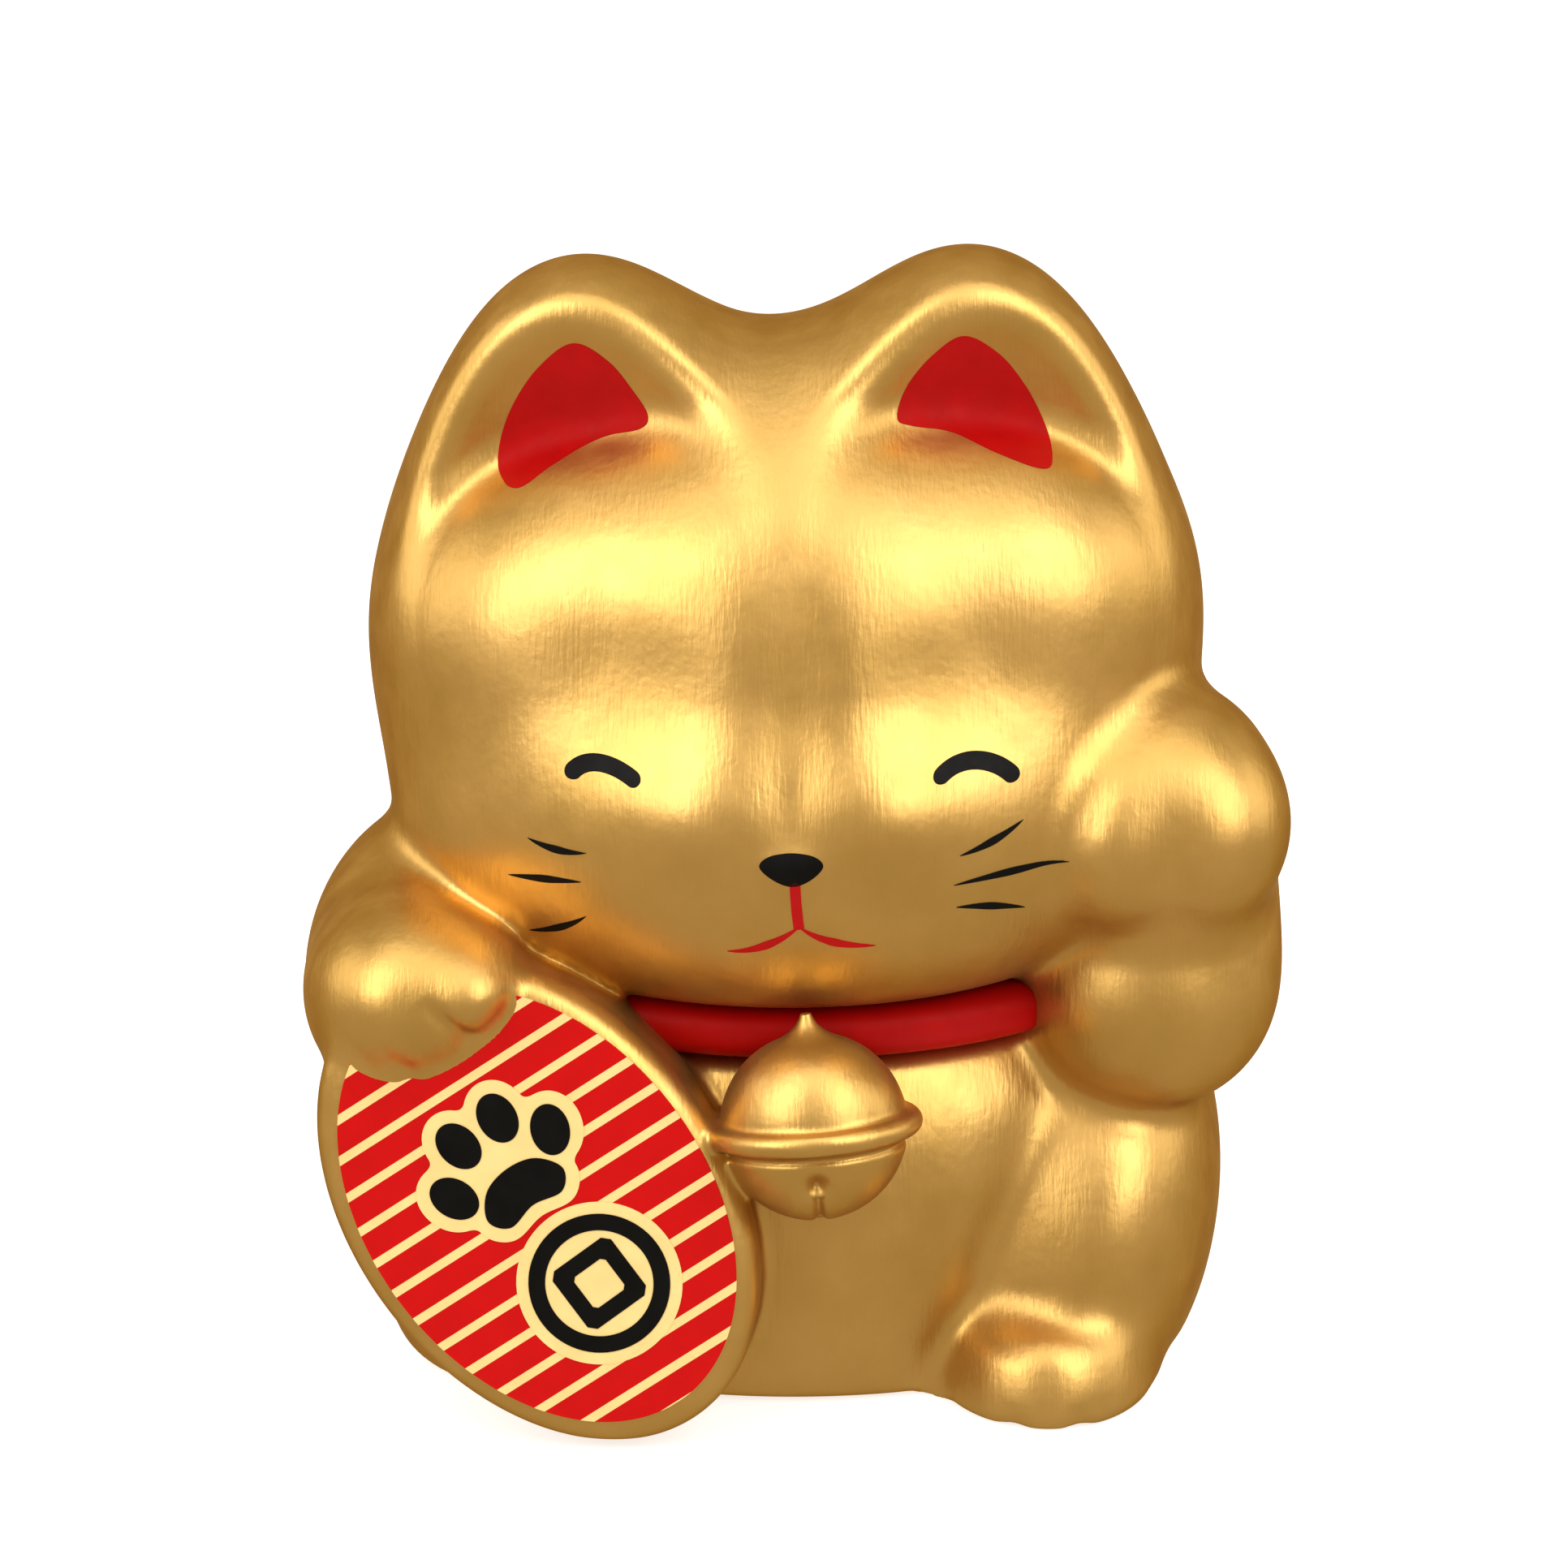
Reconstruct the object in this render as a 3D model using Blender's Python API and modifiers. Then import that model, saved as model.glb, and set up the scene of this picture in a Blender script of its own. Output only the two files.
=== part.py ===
"""Beckoning cat figurine: a squat, hollow, gold-painted ceramic cat that is also a coin bank.

The constants are in millimetres and the scene is in metres. The cat looks along -Y, +X is
to the right of someone facing it, and +Z is up. The constants count from the middle of the
base hole, on the floor, and the last step shifts the whole cat so that the origin is the
middle of its footprint.
"""
import math

import bmesh
import bpy
from mathutils import Euler, Matrix, Vector

MM = 0.001

# ---------------------------------------------------------------- driving dimensions, mm
GAP = 0.3                  # clearance between neighbouring pieces
HEAD_CENTRE = Vector((0.8, 3.0, 72.0))
HEAD_RADII = Vector((46.4, 38.5, 38.5))
HEAD_LEAN = -1.5           # degrees, crown towards -X
WALL = 4.5                 # fired thickness of the slip-cast shell

MIDDLE = 0.8               # x of the plane that the two sides mirror in
EAR_CENTRE = Vector((22.0, -6.0, 91.0))       # the ear at +X
EAR_RADII = Vector((19.8, 24.0, 31.0))
SCOOP_CENTRE = Vector((23.1, -46.0, 98.0))    # the ear's flat inside is a slice of this form
SCOOP_RADII = Vector((30.0, 33.0, 42.0))

BASE_RECESS_DEPTH = 3.0    # the base is hollowed so that the cat stands on a ring
BASE_RECESS_RADII = (36.0, 27.0)
BASE_FLOOR = 5.0           # thickness of the base over the recess
HOLE_RADIUS = 14.0
PLUG_LENGTH = 9.0
PLUG_TAPER = 0.8
FLANGE_RADIUS = 17.5
FLANGE_THICKNESS = 1.8
DISH_RADIUS = 10.5
DISH_DEPTH = 6.0
GRIP_WIDTH = 3.0

SLOT_LENGTH = 38.0
SLOT_WIDTH = 5.2
SLOT_HEIGHT = 96.0         # above the floor

COLLAR_CENTRE = Vector((1.5, -2.0, 43.0))
COLLAR_RADII = (33.2, 31.7)
COLLAR_SECTION = (5.0, 3.8)
NECK_HEIGHT = 41.8         # the body's rim, hidden behind the collar

BELL_CENTRE = Vector((3.2, -42.3, 34.4))
BELL_RADIUS = 10.1
BELL_RIM_RADIUS = 11.3
BELL_RIM_HEIGHT = 2.6
PEG_RADIUS = 2.0
PEG_HEIGHT = 3.0

KOBAN_CENTRE = Vector((-26.5, -49.0, 27.0))   # middle of its face
KOBAN_RADII = (21.3, 29.2)
KOBAN_DEPTH = 17.0
KOBAN_ROLL = 36.9          # degrees, top towards -X
KOBAN_TURN = 6.0           # degrees, face towards -X
KOBAN_BACK_LEAN = 8.0      # degrees, top away from the viewer
KOBAN_EDGE = 2.8
LABEL_INSET = 3.6          # gold border around the printed label
LABEL_THICKNESS = 0.4

GOLD = (0.76, 0.52, 0.17)
RED = (0.55, 0.0, 0.0)


# ---------------------------------------------------------------- scene and materials
def clear_scene():
    for item in list(bpy.data.objects):
        bpy.data.objects.remove(item, do_unlink=True)


def new_collection(name):
    collection = bpy.data.collections.new(name)
    bpy.context.scene.collection.children.link(collection)
    return collection


clear_scene()
PARTS = new_collection("beckoning_cat_figurine")
CUTTERS = new_collection("cutters")


def material(name, colour, roughness, metallic):
    made = bpy.data.materials.new(name)
    made.use_nodes = True
    shader = made.node_tree.nodes["Principled BSDF"]
    shader.inputs["Base Color"].default_value = (*colour, 1.0)
    shader.inputs["Roughness"].default_value = roughness
    shader.inputs["Metallic"].default_value = metallic
    return made


def add_part(name, mesh, colour, roughness=0.38, metallic=0.9):
    part = bpy.data.objects.new(name, mesh)
    mesh.materials.clear()
    mesh.materials.append(material(name + "_finish", colour, roughness, metallic))
    PARTS.objects.link(part)
    return part


def add_cutter(name, mesh):
    cutter = bpy.data.objects.new(name, mesh)
    cutter.hide_render = True
    cutter.display_type = "WIRE"
    CUTTERS.objects.link(cutter)
    return cutter


def cut(target, cutter):
    step = target.modifiers.new("cut_" + cutter.name, "BOOLEAN")
    step.operation = "DIFFERENCE"
    step.solver = "EXACT"
    step.object = cutter


def evaluated_mesh(item):
    graph = bpy.context.evaluated_depsgraph_get()
    graph.update()
    return bpy.data.meshes.new_from_object(item.evaluated_get(graph))


# ---------------------------------------------------------------- rounded forms
def placement(centre, turn=(0, 0, 0)):
    """A rotation in degrees about the centre, then the shift to it, in metres."""
    angles = Euler([math.radians(a) for a in turn])
    return Matrix.Translation(Vector(centre) * MM) @ angles.to_matrix().to_4x4()


def lump(centre, radii, turn=(0, 0, 0)):
    """An ellipsoid of clay, as its centre, radii and turn in degrees."""
    return Vector(centre), Vector(radii), turn


def mirrored(one):
    centre, radii, turn = one
    return lump((2 * MIDDLE - centre.x, centre.y, centre.z), radii, (turn[0], -turn[1], -turn[2]))


def lumps_mesh(name, lumps):
    shape = bmesh.new()
    for centre, radii, turn in lumps:
        scale = Matrix.Diagonal((*(radii * MM), 1.0))
        matrix = placement(centre, turn) @ scale
        bmesh.ops.create_uvsphere(shape, u_segments=48, v_segments=32, radius=1.0, matrix=matrix)
    mesh = bpy.data.meshes.new(name)
    shape.to_mesh(mesh)
    shape.free()
    return mesh


def join(target, other):
    step = target.modifiers.new("join_" + other.name, "BOOLEAN")
    step.operation = "UNION"
    step.solver = "EXACT"
    step.object = other


def run_together(draft, voxel, smoothing, triangles):
    """The draft's mesh as one smooth skin of about that many triangles."""
    remesh = draft.modifiers.new("remesh", "REMESH")
    remesh.mode = "VOXEL"
    remesh.voxel_size = voxel * MM
    smooth = draft.modifiers.new("smooth", "SMOOTH")
    smooth.factor = 0.5
    smooth.iterations = smoothing
    full = len(evaluated_mesh(draft).polygons) * 2
    thin = draft.modifiers.new("thin", "DECIMATE")
    thin.ratio = min(1.0, triangles / full)
    mesh = evaluated_mesh(draft)
    mesh.shade_smooth()
    bpy.data.objects.remove(draft, do_unlink=True)
    return mesh


def blended(name, lumps, voxel, smoothing, triangles):
    draft = add_cutter(name + "_draft", lumps_mesh(name, lumps))
    return run_together(draft, voxel, smoothing, triangles)


def clearance(name, mesh, gap=GAP):
    """The form made larger by the gap, to cut its neighbours with."""
    cutter = add_cutter(name + "_clearance", mesh.copy())
    swell = cutter.modifiers.new("swell", "DISPLACE")
    swell.mid_level = 0.0
    swell.strength = gap * MM
    return cutter


def box_mesh(name, low, high):
    low = Vector(low)
    high = Vector(high)
    shape = bmesh.new()
    scale = Matrix.Diagonal((*((high - low) * MM), 1.0))
    middle = Matrix.Translation((low + high) / 2 * MM)
    bmesh.ops.create_cube(shape, size=1.0, matrix=middle @ scale)
    mesh = bpy.data.meshes.new(name)
    shape.to_mesh(mesh)
    shape.free()
    return mesh


def disc_mesh(name, radii, low, high, matrix=Matrix.Identity(4), segments=48):
    """An upright elliptical disc between two heights, then moved by the matrix."""
    shape = bmesh.new()
    scale = Matrix.Diagonal((radii[0] * MM, radii[1] * MM, (high - low) * MM, 1.0))
    middle = Matrix.Translation((0, 0, (low + high) / 2 * MM))
    bmesh.ops.create_cone(shape, cap_ends=True, segments=segments, radius1=1.0, radius2=1.0,
                          depth=1.0, matrix=matrix @ middle @ scale)
    mesh = bpy.data.meshes.new(name)
    shape.to_mesh(mesh)
    shape.free()
    return mesh


def turned_mesh(name, profile, steps=40):
    """A closed form turned about Z from (radius, height) points that run top to bottom."""
    shape = bmesh.new()
    points = [shape.verts.new((radius * MM, 0, height * MM)) for radius, height in profile]
    for upper, lower in zip(points, points[1:]):
        shape.edges.new((upper, lower))
    outline = bpy.data.meshes.new(name)
    shape.to_mesh(outline)
    shape.free()
    draft = add_cutter(name + "_draft", outline)
    screw = draft.modifiers.new("screw", "SCREW")
    screw.steps = steps
    screw.render_steps = steps
    screw.use_merge_vertices = True
    screw.merge_threshold = 0.00002
    mesh = evaluated_mesh(draft)
    bpy.data.objects.remove(draft, do_unlink=True)
    return mesh


# ---------------------------------------------------------------- the forms in clay
def lean_head(one):
    """Turn a head lump about the middle of the head by the head's lean."""
    centre, radii, turn = one
    turned = Matrix.Rotation(math.radians(HEAD_LEAN), 3, "Y") @ (centre - HEAD_CENTRE)
    return lump(HEAD_CENTRE + turned, radii, (turn[0], turn[1] + HEAD_LEAN, turn[2]))


def hood_lumps():
    """The back and sides of the head with the two broad ears."""
    ear = lump(EAR_CENTRE, EAR_RADII)
    temples = lump((MIDDLE, 1.0, 80.0), (45.4, 34.0, 32.5))
    return [lean_head(one) for one in (lump(HEAD_CENTRE, HEAD_RADII), temples, ear, mirrored(ear))]


def face_lumps():
    forms = [
        lump((MIDDLE, -10.0, 74.0), (43.8, 33.0, 33.5)),        # forehead
        lump((MIDDLE, -12.0, 62.0), (43.0, 31.0, 19.5)),        # cheeks
        lump((MIDDLE, -31.0, 63.0), (21.0, 13.5, 13.0)),        # muzzle
    ]
    return [lean_head(one) for one in forms]


def head_form():
    """The hood with the ears scooped flat in front, and the face swelling out below them."""
    head = add_cutter("head_draft", blended("hood", hood_lumps(), 2.0, 8, 5000))
    scoop = lump(SCOOP_CENTRE, SCOOP_RADII)
    for one in (scoop, mirrored(scoop)):
        cut(head, add_cutter("ear_scoop", lumps_mesh("ear_scoop", [lean_head(one)])))
    join(head, add_cutter("face", blended("face", face_lumps(), 2.0, 6, 3000)))
    return run_together(head, 1.8, 2, 2000)


def torso_lumps():
    haunch = lump((33.5, -10.0, 17.0), (16.4, 28.0, 24.0))
    return [
        lump((MIDDLE, -2.0, 9.0), (46.0, 38.0, 27.0)),          # seat
        lump((MIDDLE, -6.0, 24.0), (40.0, 35.5, 26.0)),         # belly
        lump((MIDDLE, 3.0, 27.0), (45.0, 34.0, 28.0)),          # back
        haunch,
        mirrored(haunch),
    ]


def raised_arm_lumps():
    return [
        lump((41.4, -21.0, 42.5), (13.8, 15.0, 13.2)),          # elbow
        lump((42.0, -16.0, 56.0), (12.8, 15.0, 20.0)),          # forearm
        lump((40.6, -27.0, 65.0), (12.6, 11.0, 13.0)),          # bent paw
        lump((35.8, -31.5, 62.6), (8.8, 9.5, 9.4)),             # inner toes
        lump((45.6, -30.5, 63.2), (8.0, 9.5, 9.4)),             # outer toes
    ]


def lowered_arm_lumps():
    return [
        lump((-38.5, -12.0, 48.0), (11.5, 15.0, 12.5), (30, 0, 0)),   # shoulder
        lump((-41.5, -25.0, 45.0), (11.2, 17.0, 12.2), (15, 0, 0)),   # forearm
        lump((-39.5, -38.0, 43.5), (12.2, 11.5, 9.4), (0, 20, 0)),    # paw over the koban
    ]


HEAD_FORM = head_form()
TORSO_FORM = blended("torso", torso_lumps(), 2.0, 16, 1200)
RAISED_ARM_FORM = blended("raised_arm", raised_arm_lumps(), 1.4, 8, 600)
LOWERED_ARM_FORM = blended("lowered_arm", lowered_arm_lumps(), 1.4, 8, 560)
HIND_PAW_FORM = blended("hind_paw", [lump((30.0, -33.0, 3.0), (13.0, 15.2, 8.2))], 1.5, 3, 320)
TAIL_FORM = blended("tail", [lump((15.0, 34.0, 15.0), (7.5, 9.0, 11.0), (0, 25, 0))], 1.5, 3, 240)


def cavity_mesh():
    """The hollow left by pouring out the slip: head and body in one, joined by the neck."""
    inset = Vector((WALL, WALL, WALL))
    head_hollow = lump(HEAD_CENTRE + Vector((0, -1.0, 1.0)), HEAD_RADII - inset)
    face_hollow = lump((0.8, -9.0, 71.0), (38.0, 27.5, 25.0))
    body_hollow = lump((1.0, 0.0, 27.0), (42.5, 32.0, 27.5))
    belly_hollow = lump((1.0, -4.5, 22.0), (35.0, 31.0, 20.0))
    forms = [head_hollow, face_hollow, body_hollow, belly_hollow]
    return blended("cavity", forms, 3.0, 4, 600)


def below_floor_mesh():
    return box_mesh("below_floor", (-80, -80, -60), (80, 80, 0))


# ---------------------------------------------------------------- cutters
HEAD_ROOM = clearance("head", HEAD_FORM)
TORSO_ROOM = clearance("torso", TORSO_FORM)
CAVITY = add_cutter("cavity", cavity_mesh())
BELOW_FLOOR = add_cutter("below_floor", below_floor_mesh())


# ---------------------------------------------------------------- pieces
def make_head():
    head = add_part("head", HEAD_FORM.copy(), GOLD)
    cut(head, CAVITY)
    slot = box_mesh("coin_slot", (-SLOT_LENGTH / 2, 15.0, SLOT_HEIGHT - SLOT_WIDTH / 2),
                    (SLOT_LENGTH / 2, 60.0, SLOT_HEIGHT + SLOT_WIDTH / 2))
    cut(head, add_cutter("coin_slot", slot))
    return head


def make_torso(collar_room):
    torso = add_part("torso", TORSO_FORM.copy(), GOLD)
    cut(torso, BELOW_FLOOR)
    cut(torso, HEAD_ROOM)
    above_neck = box_mesh("above_neck", (-80, -80, NECK_HEIGHT), (80, 80, 90))
    cut(torso, add_cutter("above_neck", above_neck))
    cut(torso, collar_room)
    floor_keep = box_mesh("inner_floor", (-80, -80, -60), (80, 80, BASE_RECESS_DEPTH + BASE_FLOOR))
    hollow = add_cutter("body_hollow", CAVITY.data.copy())
    cut(hollow, add_cutter("inner_floor", floor_keep))
    cut(torso, hollow)
    recess = disc_mesh("base_recess", BASE_RECESS_RADII, -5.0, BASE_RECESS_DEPTH)
    cut(torso, add_cutter("base_recess", recess))
    hole = disc_mesh("base_hole", (HOLE_RADIUS, HOLE_RADIUS), -5.0, 20.0)
    cut(torso, add_cutter("base_hole", hole))
    return torso


def make_stopper():
    """A soft tapered plug with a flange, a dish on its underside and a grip bar across it."""
    top = BASE_RECESS_DEPTH + PLUG_LENGTH
    flange_top = BASE_RECESS_DEPTH - GAP
    flange_bottom = flange_top - FLANGE_THICKNESS
    plug_radius = HOLE_RADIUS - GAP
    profile = [
        (0.0, top),
        (plug_radius - PLUG_TAPER - 1.0, top),
        (plug_radius - PLUG_TAPER, top - 1.0),
        (plug_radius, flange_top),
        (FLANGE_RADIUS, flange_top),
        (FLANGE_RADIUS, flange_bottom),
        (0.0, flange_bottom),
    ]
    stopper = add_part("stopper", turned_mesh("stopper", profile), (0.75, 0.73, 0.68), 0.5, 0.0)
    dish = add_cutter("stopper_dish", disc_mesh("stopper_dish", (DISH_RADIUS, DISH_RADIUS), -5.0,
                                                flange_bottom + DISH_DEPTH, segments=32))
    bar = box_mesh("grip_bar", (-20, -GRIP_WIDTH / 2, -10), (20, GRIP_WIDTH / 2, 20))
    cut(dish, add_cutter("grip_bar", bar))
    cut(stopper, dish)
    return stopper


def collar_mesh():
    """A flat oval ring around the neck."""
    shape = bmesh.new()
    around = 40
    across = 8
    rings = []
    for step in range(around):
        angle = 2 * math.pi * step / around
        outward = Vector((math.cos(angle), math.sin(angle), 0))
        middle = Vector((COLLAR_RADII[0] * outward.x, COLLAR_RADII[1] * outward.y, 0))
        ring = []
        for turn in range(across):
            phase = 2 * math.pi * turn / across
            offset = outward * COLLAR_SECTION[0] * math.cos(phase)
            offset.z = COLLAR_SECTION[1] * math.sin(phase)
            ring.append(shape.verts.new((COLLAR_CENTRE + middle + offset) * MM))
        rings.append(ring)
    for here, after in zip(rings, rings[1:] + rings[:1]):
        for turn in range(across):
            beside = (turn + 1) % across
            shape.faces.new((here[turn], after[turn], after[beside], here[beside]))
    bmesh.ops.recalc_face_normals(shape, faces=shape.faces)
    mesh = bpy.data.meshes.new("collar")
    shape.to_mesh(mesh)
    shape.free()
    mesh.shade_smooth()
    return mesh


def make_collar():
    collar = add_part("collar", collar_mesh(), RED, 0.4, 0.0)
    cut(collar, HEAD_ROOM)
    return collar


def make_arm(name, form, neighbours):
    arm = add_part(name, form.copy(), GOLD)
    for neighbour in neighbours:
        cut(arm, neighbour)
    return arm


def koban_matrix():
    """From a disc whose face looks along +Z to the koban's leaning place."""
    face_forward = Matrix.Rotation(math.radians(90 - KOBAN_BACK_LEAN), 4, "X")
    roll = Matrix.Rotation(math.radians(KOBAN_ROLL), 4, "Z")
    turn = Matrix.Rotation(math.radians(-KOBAN_TURN), 4, "Z")
    return Matrix.Translation(KOBAN_CENTRE * MM) @ turn @ face_forward @ roll


def bevelled(name, mesh, width, segments):
    """The mesh with its sharp edges rounded."""
    draft = add_cutter(name + "_draft", mesh)
    bevel = draft.modifiers.new("bevel", "BEVEL")
    bevel.width = width * MM
    bevel.segments = segments
    bevel.limit_method = "ANGLE"
    made = evaluated_mesh(draft)
    bpy.data.objects.remove(draft, do_unlink=True)
    return made


def koban_form():
    disc = disc_mesh("koban", KOBAN_RADII, -KOBAN_DEPTH, 0.0, koban_matrix(), 44)
    return bevelled("koban", disc, KOBAN_EDGE, 2)


def label_mesh(name, border, low, high):
    radii = (KOBAN_RADII[0] - border, KOBAN_RADII[1] - border)
    return disc_mesh(name, radii, low, high, koban_matrix(), 44)


def make_koban(neighbours):
    plaque = add_part("koban_plaque", koban_form(), GOLD)
    pocket = label_mesh("label_pocket", LABEL_INSET - GAP, -GAP - LABEL_THICKNESS, 5.0)
    cut(plaque, add_cutter("label_pocket", pocket))
    for neighbour in neighbours:
        cut(plaque, neighbour)
    cut(plaque, BELOW_FLOOR)
    return plaque


def make_label(neighbours):
    label = add_part("koban_label", label_mesh("koban_label", LABEL_INSET, -LABEL_THICKNESS, 0.0),
                     RED, 0.35, 0.0)
    for neighbour in neighbours:
        cut(label, neighbour)
    return label


def bell_profile():
    """Dome, rim band and bowl, from the crown down."""
    arcs = 7
    half_rim = BELL_RIM_HEIGHT / 2
    edge = math.asin(half_rim / BELL_RADIUS)
    dome = []
    for step in range(arcs):
        angle = math.pi / 2 - (math.pi / 2 - edge) * step / (arcs - 1)
        dome.append((BELL_RADIUS * math.cos(angle), BELL_RADIUS * math.sin(angle)))
    dome[0] = (0.0, BELL_RADIUS)
    rim = [(BELL_RIM_RADIUS, half_rim * 0.7), (BELL_RIM_RADIUS, -half_rim * 0.7)]
    bowl = [(radius, -height) for radius, height in reversed(dome)]
    return dome + rim + bowl


def make_bell(neighbours):
    mesh = turned_mesh("bell", bell_profile(), 30)
    mesh.transform(Matrix.Translation(BELL_CENTRE * MM))
    bell = add_part("bell", mesh, GOLD)
    foot = BELL_CENTRE.z + BELL_RADIUS - 1.5
    peg = disc_mesh("bell_peg", (PEG_RADIUS, PEG_RADIUS), foot, foot + 1.5 + PEG_HEIGHT,
                    Matrix.Translation(Vector((BELL_CENTRE.x, BELL_CENTRE.y, 0)) * MM), 16)
    join(bell, add_cutter("bell_peg", peg))
    slit = box_mesh("bell_slit", (BELL_CENTRE.x - 0.5, -80, BELL_CENTRE.z - 12.0),
                    (BELL_CENTRE.x + 0.5, BELL_CENTRE.y - 8.0, BELL_CENTRE.z - 4.0))
    cut(bell, add_cutter("bell_slit", slit))
    for neighbour in neighbours:
        cut(bell, neighbour)
    return bell


def make_foot_piece(name, form, neighbours):
    piece = add_part(name, form.copy(), GOLD)
    cut(piece, BELOW_FLOOR)
    for neighbour in neighbours:
        cut(piece, neighbour)
    return piece


def corners(part):
    return [part.matrix_world @ vertex.co for vertex in evaluated_mesh(part).vertices]


def centre_footprint():
    """Shift the whole cat so that the origin is the middle of its overall footprint."""
    points = [point for part in PARTS.objects for point in corners(part)]
    middle = Vector((0, 0, 0))
    for axis in (0, 1):
        values = [point[axis] for point in points]
        middle[axis] = (min(values) + max(values)) / 2
    for item in [*PARTS.objects, *CUTTERS.objects]:
        item.location = item.location - middle


def build():
    make_head()
    collar_room = clearance("collar", evaluated_mesh(make_collar()))
    make_torso(collar_room)
    make_stopper()
    body = [HEAD_ROOM, TORSO_ROOM, collar_room]
    make_arm("raised_arm", RAISED_ARM_FORM, body)
    make_arm("lowered_arm", LOWERED_ARM_FORM, body)
    arm_room = clearance("lowered_arm", LOWERED_ARM_FORM)
    make_koban([*body, arm_room])
    make_label([arm_room])
    make_bell([*body, clearance("koban", koban_form())])
    make_foot_piece("hind_paw", HIND_PAW_FORM, [TORSO_ROOM])
    make_foot_piece("tail", TAIL_FORM, [TORSO_ROOM])
    centre_footprint()


build()
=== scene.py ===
"""Beckoning cat figurine: a gold-painted ceramic cat with a red collar, a bell and a striped charm plate.

All shapes are worked out in millimetres from the middle of the base hole, with +X to the viewer's right,
-Y towards the viewer and +Z up. new_piece turns them into metres in the row frame.
"""
import math

import bpy
import numpy as np
import openvdb
from mathutils import Matrix, Vector


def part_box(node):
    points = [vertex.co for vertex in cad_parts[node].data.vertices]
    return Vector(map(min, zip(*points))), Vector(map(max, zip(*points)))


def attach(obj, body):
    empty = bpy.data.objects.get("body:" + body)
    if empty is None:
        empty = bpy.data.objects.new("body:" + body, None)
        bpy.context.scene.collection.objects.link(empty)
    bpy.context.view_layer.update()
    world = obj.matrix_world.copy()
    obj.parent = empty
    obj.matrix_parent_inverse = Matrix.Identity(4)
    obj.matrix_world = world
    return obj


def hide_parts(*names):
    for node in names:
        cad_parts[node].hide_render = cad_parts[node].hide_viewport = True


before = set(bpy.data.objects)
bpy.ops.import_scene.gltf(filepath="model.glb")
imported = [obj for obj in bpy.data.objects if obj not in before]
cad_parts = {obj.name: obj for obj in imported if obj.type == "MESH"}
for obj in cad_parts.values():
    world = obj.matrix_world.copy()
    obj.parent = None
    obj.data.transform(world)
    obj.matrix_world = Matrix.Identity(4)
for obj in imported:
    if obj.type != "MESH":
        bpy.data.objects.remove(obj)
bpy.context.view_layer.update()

MM = 0.001
stopper_low, stopper_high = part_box("stopper")
ORIGIN = np.array([(stopper_low.x + stopper_high.x) / 2, (stopper_low.y + stopper_high.y) / 2, 0.0])

HEAD_MIDDLE = (0.3, 3.0, 72.0)
HEAD_LEAN = -1.5             # degrees, towards the raised paw
WALL = 3.0                   # of the ceramic where it shows, in the slot and the base hole
SLOT_HALF = (19.0, 2.6)      # half length and half width of the coin slot
SLOT_HEIGHT = 96.0
SLOT_FRONT = 15.0            # the slot runs from here back through the head
SLOT_CORNER = 1.5
RECESS_DEPTH = 3.0
RECESS_RADII = (36.0, 27.0)
HOLE_RADIUS = 14.0
HOLE_TOP = 8.0
HOLE_CUT_TOP = 20.0          # well into the hollow above it

COLLAR_MIDDLE = (1.5, -2.0, 42.1)
COLLAR_RADII = (34.4, 31.7)
COLLAR_SECTION = (4.6, 3.0)      # half width and half height of the band
GROOVE_HALF = 3.1                # half height of the groove that the collar lies in
COLLAR_SINK = 1.0                # how far the band goes into the ceramic behind it

BELL_MIDDLE = np.array([3.2, -43.9, 34.4])
BELL_RADIUS = 10.1
BELL_RIM_RADIUS = 11.7
BELL_RIM_HALF = 1.2              # half the rim band's thickness
BELL_HOLE_DROP = 4.6             # below the bell's middle
BELL_SLIT_DROP = 6.2
BELL_TILT = (-8.0, -4.3, 0.0)    # leaning back, and its right side a little higher

KOBAN_MIDDLE = np.array([-26.5, -49.0, 27.0])    # middle of the plate's face
KOBAN_RADII = (20.3, 29.0)
KOBAN_DEPTH = 17.0
KOBAN_ROLL = 36.9
KOBAN_TURN = 2.5
KOBAN_BACK_LEAN = 8.0
LABEL_RADII = (18.2, 26.0)
LABEL_SHIFT = 0.2             # towards the bell
STRIPE_SPACING = 3.8
STRIPE_WIDTH = 0.95
STRIPE_START = 0.3            # how far the middle stripe is above the label's middle
STRIPE_TILT = math.radians(-3.4)    # against the label's short axis


def to_row(points):
    """Millimetres in the cat's own frame to metres in the row frame."""
    return np.asarray(points) * MM + ORIGIN


# Distance fields: millimetres, below zero inside ------------------------------------------------------------

def rotation(turn):
    """Turns about X, then Y, then Z, in degrees."""
    around = [Matrix.Rotation(math.radians(angle), 3, axis) for angle, axis in zip(turn, "XYZ")]
    return np.array(around[2] @ around[1] @ around[0])


def lengths(vectors):
    return np.sqrt(np.einsum("ij,ij->i", vectors, vectors))


def ellipsoid(p, middle, radii, turn=None):
    q = p - np.array(middle)
    if turn is not None:
        q = q @ rotation(turn)
    radii = np.array(radii, float)
    near, steep = lengths(q / radii), lengths(q / radii ** 2)
    return near * (near - 1) / np.maximum(steep, 1e-6)


def joined(a, b, blend):
    """The union of two forms with a fillet about as wide as blend."""
    overlap = np.maximum(blend - np.abs(a - b), 0) / blend
    return np.minimum(a, b) - overlap ** 2 * blend / 4


def common(a, b, blend):
    return -joined(-a, -b, blend)


def run_together(p, lumps):
    """Lumps (middle, radii, blend[, turn]) joined one after another."""
    form = None
    for middle, radii, blend, *turn in lumps:
        lump = ellipsoid(p, middle, radii, *turn)
        form = lump if form is None else joined(form, lump, blend)
    return form


def swelling(p, x, z, width, height):
    """1 at (x, z) on the front of the cat, fading to 0 round it."""
    return np.exp(-((p[:, 0] - x) / width) ** 2 - ((p[:, 2] - z) / height) ** 2)


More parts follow.
